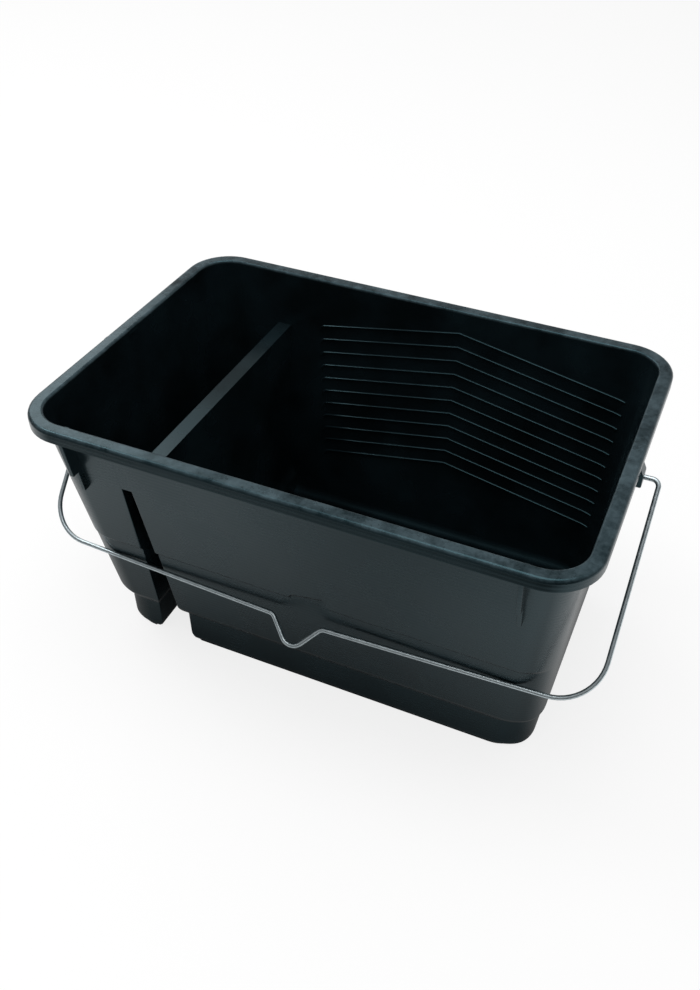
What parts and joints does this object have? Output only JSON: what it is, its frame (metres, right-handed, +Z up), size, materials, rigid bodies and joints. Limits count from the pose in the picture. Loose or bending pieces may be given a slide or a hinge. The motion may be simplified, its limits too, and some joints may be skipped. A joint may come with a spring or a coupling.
{
  "type": "paint scuttle",
  "caption": "Two-well paint scuttle with a divider, roll-off ribs on its back wall, a rolled rim and a bent wire bail that swings in side lugs.",
  "frame": {"origin": "on the floor, under the middle of the rim, on the underside of the roller well's floor", "axes": "+Z up; +X towards the roller well's end; +Y towards the ribbed back wall"},
  "size_m": [0.4646, 0.29, 0.238],
  "materials": {
    "tub_plastic": "dark moulded polypropylene, satin",
    "bail_wire": "galvanised drawn wire"
  },
  "bodies": {
    "tub": {"tub": "tub_plastic"},
    "bail": {"bail_handle": "bail_wire"}
  },
  "joints": [
    {"name": "bail_swing", "type": "hinge", "parent": "tub", "child": "bail", "pos_m": [0, 0, 0.221], "axis": [-1, 0, 0], "range_deg": [0, 273]}
  ]
}
